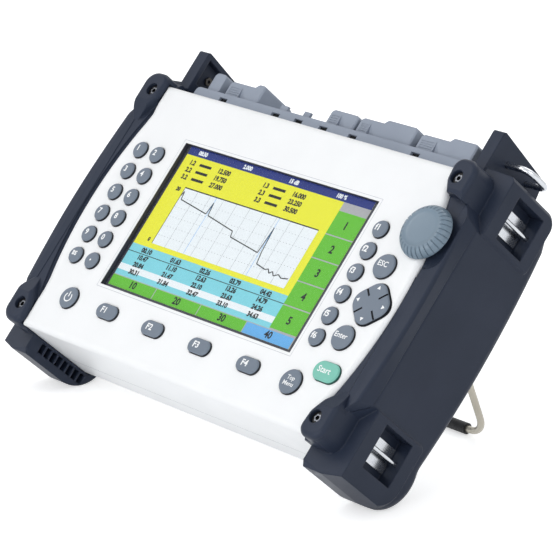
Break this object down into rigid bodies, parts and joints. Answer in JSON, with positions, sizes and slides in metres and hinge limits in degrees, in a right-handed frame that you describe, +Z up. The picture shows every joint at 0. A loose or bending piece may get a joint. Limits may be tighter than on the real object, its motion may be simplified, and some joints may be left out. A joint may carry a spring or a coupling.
{
  "type": "optical time domain reflectometer",
  "caption": "Handheld fibre test instrument with display, keypad, jog knob, top port covers, side bumpers and folding wire stand.",
  "frame": {"origin": "middle of the bottom of the box round the device, standing on the floor at z = 0 and leaning on its open stand", "axes": "+X to the right seen from the front, +Y away from the viewer, +Z up"},
  "size_m": [0.284, 0.1662, 0.1792],
  "materials": {
    "case_white": "gloss moulded white",
    "bumper_rubber": "matte navy charcoal",
    "port_grey": "matte blue grey",
    "key_grey": "satin grey",
    "start_green": "satin mint green",
    "knob_grey": "satin blue grey",
    "clear_window": "clear",
    "display_black": "matte",
    "keypad_rubber": "matte",
    "board_green": "solder mask",
    "module_metal": "satin",
    "battery_black": "matte",
    "pivot_plastic": "moulded",
    "screw_black": "black oxide",
    "bright_metal": "polished",
    "stand_steel": "plated wire",
    "sleeve_black": "matte",
    "bracket_black": "matte"
  },
  "bodies": {
    "housing": {"front_case": "case_white", "rear_case": "case_white", "battery_door": "case_white", "left_bumper": "bumper_rubber", "right_bumper": "bumper_rubber", "top_port_panel": "port_grey", "display_window": "clear_window", "display_module": "display_black", "keypad_membrane": "keypad_rubber", "keypad_board": "board_green", "main_board": "board_green", "optical_module": "module_metal", "rotary_encoder": "module_metal", "battery_pack": "battery_black", "bumper_screws": "screw_black", "strap_pins": "bright_metal", "strap_plates": "bright_metal", "strap_loops": "bright_metal", "optical_adapters": "bright_metal", "usb_sockets": "bright_metal", "stand_brackets": "bracket_black"},
    "knob": {"jog_knob": "knob_grey"},
    "cursor_carrier": {"cursor_pivot": "pivot_plastic"},
    "cursor": {"cursor_pad": "key_grey"},
    "stand": {"tilt_stand": "stand_steel", "stand_sleeve": "sleeve_black"},
    "number_key_1": {"number_key_1": "key_grey"},
    "number_key_2": {"number_key_2": "key_grey"},
    "number_key_3": {"number_key_3": "key_grey"},
    "number_key_4": {"number_key_4": "key_grey"},
    "number_key_5": {"number_key_5": "key_grey"},
    "number_key_6": {"number_key_6": "key_grey"},
    "number_key_7": {"number_key_7": "key_grey"},
    "number_key_8": {"number_key_8": "key_grey"},
    "number_key_9": {"number_key_9": "key_grey"},
    "number_key_0": {"number_key_0": "key_grey"},
    "number_key_back": {"number_key_back": "key_grey"},
    "number_key_dot": {"number_key_dot": "key_grey"},
    "power_key": {"power_key": "key_grey"},
    "soft_key_1": {"soft_key_1": "key_grey"},
    "soft_key_2": {"soft_key_2": "key_grey"},
    "soft_key_3": {"soft_key_3": "key_grey"},
    "soft_key_4": {"soft_key_4": "key_grey"},
    "side_key_1": {"side_key_1": "key_grey"},
    "side_key_2": {"side_key_2": "key_grey"},
    "side_key_3": {"side_key_3": "key_grey"},
    "side_key_4": {"side_key_4": "key_grey"},
    "side_key_5": {"side_key_5": "key_grey"},
    "side_key_6": {"side_key_6": "key_grey"},
    "escape_key": {"escape_key": "key_grey"},
    "enter_key": {"enter_key": "key_grey"},
    "menu_key": {"menu_key": "key_grey"},
    "start_key": {"start_key": "start_green"},
    "port_cover_1": {"port_cover_1": "port_grey"},
    "port_cover_2": {"port_cover_2": "port_grey"},
    "port_cover_3": {"port_cover_3": "port_grey"},
    "port_cover_4": {"port_cover_4": "port_grey"},
    "port_cover_5": {"port_cover_5": "port_grey"},
    "port_cover_6": {"port_cover_6": "port_grey"}
  },
  "joints": [
    {"name": "stand_fold", "type": "hinge", "parent": "housing", "child": "stand", "pos_m": [0, 0.03773, 0.08021], "axis": [1, 0, 0], "range_deg": [-64, 0]},
    {"name": "port_cover_1_hinge", "type": "hinge", "parent": "housing", "child": "port_cover_1", "pos_m": [0, 0.0638, 0.14139], "axis": [1, 0, 0], "range_deg": [-100, 0]},
    {"name": "port_cover_2_hinge", "type": "hinge", "parent": "housing", "child": "port_cover_2", "pos_m": [0, 0.0638, 0.14139], "axis": [1, 0, 0], "range_deg": [-100, 0]},
    {"name": "port_cover_3_hinge", "type": "hinge", "parent": "housing", "child": "port_cover_3", "pos_m": [0, 0.0638, 0.14139], "axis": [1, 0, 0], "range_deg": [-100, 0]},
    {"name": "port_cover_4_hinge", "type": "hinge", "parent": "housing", "child": "port_cover_4", "pos_m": [0, 0.0638, 0.14139], "axis": [1, 0, 0], "range_deg": [-100, 0]},
    {"name": "port_cover_5_hinge", "type": "hinge", "parent": "housing", "child": "port_cover_5", "pos_m": [0, 0.0638, 0.14139], "axis": [1, 0, 0], "range_deg": [-100, 0]},
    {"name": "port_cover_6_hinge", "type": "hinge", "parent": "housing", "child": "port_cover_6", "pos_m": [0, 0.0638, 0.14139], "axis": [1, 0, 0], "range_deg": [-100, 0]},
    {"name": "knob_turn", "type": "hinge", "parent": "housing", "child": "knob", "pos_m": [0.1232, -0.0001, 0.13544], "axis": [0, 0.7459, -0.666], "continuous": true},
    {"name": "cursor_rock", "type": "hinge", "parent": "housing", "child": "cursor_carrier", "pos_m": [0.1146, -0.027, 0.099], "axis": [1, 0, 0], "range_deg": [-3, 3], "stiffness_Nm_per_rad": 0.3},
    {"name": "cursor_sway", "type": "hinge", "parent": "cursor_carrier", "child": "cursor", "pos_m": [0.1146, -0.027, 0.099], "axis": [0, 0.666, 0.7459], "range_deg": [-3, 3], "stiffness_Nm_per_rad": 0.3},
    {"name": "number_key_1_press", "type": "slide", "parent": "housing", "child": "number_key_1", "axis": [0, 0.7459, -0.666], "range_m": [0, 0.001], "stiffness_N_per_m": 400},
    {"name": "number_key_2_press", "type": "slide", "parent": "housing", "child": "number_key_2", "axis": [0, 0.7459, -0.666], "range_m": [0, 0.001], "stiffness_N_per_m": 400},
    {"name": "number_key_3_press", "type": "slide", "parent": "housing", "child": "number_key_3", "axis": [0, 0.7459, -0.666], "range_m": [0, 0.001], "stiffness_N_per_m": 400},
    {"name": "number_key_4_press", "type": "slide", "parent": "housing", "child": "number_key_4", "axis": [0, 0.7459, -0.666], "range_m": [0, 0.001], "stiffness_N_per_m": 400},
    {"name": "number_key_5_press", "type": "slide", "parent": "housing", "child": "number_key_5", "axis": [0, 0.7459, -0.666], "range_m": [0, 0.001], "stiffness_N_per_m": 400},
    {"name": "number_key_6_press", "type": "slide", "parent": "housing", "child": "number_key_6", "axis": [0, 0.7459, -0.666], "range_m": [0, 0.001], "stiffness_N_per_m": 400},
    {"name": "number_key_7_press", "type": "slide", "parent": "housing", "child": "number_key_7", "axis": [0, 0.7459, -0.666], "range_m": [0, 0.001], "stiffness_N_per_m": 400},
    {"name": "number_key_8_press", "type": "slide", "parent": "housing", "child": "number_key_8", "axis": [0, 0.7459, -0.666], "range_m": [0, 0.001], "stiffness_N_per_m": 400},
    {"name": "number_key_9_press", "type": "slide", "parent": "housing", "child": "number_key_9", "axis": [0, 0.7459, -0.666], "range_m": [0, 0.001], "stiffness_N_per_m": 400},
    {"name": "number_key_0_press", "type": "slide", "parent": "housing", "child": "number_key_0", "axis": [0, 0.7459, -0.666], "range_m": [0, 0.001], "stiffness_N_per_m": 400},
    {"name": "number_key_back_press", "type": "slide", "parent": "housing", "child": "number_key_back", "axis": [0, 0.7459, -0.666], "range_m": [0, 0.001], "stiffness_N_per_m": 400},
    {"name": "number_key_dot_press", "type": "slide", "parent": "housing", "child": "number_key_dot", "axis": [0, 0.7459, -0.666], "range_m": [0, 0.001], "stiffness_N_per_m": 400},
    {"name": "power_key_press", "type": "slide", "parent": "housing", "child": "power_key", "axis": [0, 0.7459, -0.666], "range_m": [0, 0.001], "stiffness_N_per_m": 400},
    {"name": "soft_key_1_press", "type": "slide", "parent": "housing", "child": "soft_key_1", "axis": [0, 0.7459, -0.666], "range_m": [0, 0.001], "stiffness_N_per_m": 400},
    {"name": "soft_key_2_press", "type": "slide", "parent": "housing", "child": "soft_key_2", "axis": [0, 0.7459, -0.666], "range_m": [0, 0.001], "stiffness_N_per_m": 400},
    {"name": "soft_key_3_press", "type": "slide", "parent": "housing", "child": "soft_key_3", "axis": [0, 0.7459, -0.666], "range_m": [0, 0.001], "stiffness_N_per_m": 400},
    {"name": "soft_key_4_press", "type": "slide", "parent": "housing", "child": "soft_key_4", "axis": [0, 0.7459, -0.666], "range_m": [0, 0.001], "stiffness_N_per_m": 400},
    {"name": "side_key_1_press", "type": "slide", "parent": "housing", "child": "side_key_1", "axis": [0, 0.7459, -0.666], "range_m": [0, 0.001], "stiffness_N_per_m": 400},
    {"name": "side_key_2_press", "type": "slide", "parent": "housing", "child": "side_key_2", "axis": [0, 0.7459, -0.666], "range_m": [0, 0.001], "stiffness_N_per_m": 400},
    {"name": "side_key_3_press", "type": "slide", "parent": "housing", "child": "side_key_3", "axis": [0, 0.7459, -0.666], "range_m": [0, 0.001], "stiffness_N_per_m": 400},
    {"name": "side_key_4_press", "type": "slide", "parent": "housing", "child": "side_key_4", "axis": [0, 0.7459, -0.666], "range_m": [0, 0.001], "stiffness_N_per_m": 400},
    {"name": "side_key_5_press", "type": "slide", "parent": "housing", "child": "side_key_5", "axis": [0, 0.7459, -0.666], "range_m": [0, 0.001], "stiffness_N_per_m": 400},
    {"name": "side_key_6_press", "type": "slide", "parent": "housing", "child": "side_key_6", "axis": [0, 0.7459, -0.666], "range_m": [0, 0.001], "stiffness_N_per_m": 400},
    {"name": "escape_key_press", "type": "slide", "parent": "housing", "child": "escape_key", "axis": [0, 0.7459, -0.666], "range_m": [0, 0.001], "stiffness_N_per_m": 400},
    {"name": "enter_key_press", "type": "slide", "parent": "housing", "child": "enter_key", "axis": [0, 0.7459, -0.666], "range_m": [0, 0.001], "stiffness_N_per_m": 400},
    {"name": "menu_key_press", "type": "slide", "parent": "housing", "child": "menu_key", "axis": [0, 0.7459, -0.666], "range_m": [0, 0.001], "stiffness_N_per_m": 400},
    {"name": "start_key_press", "type": "slide", "parent": "housing", "child": "start_key", "axis": [0, 0.7459, -0.666], "range_m": [0, 0.001], "stiffness_N_per_m": 400}
  ]
}
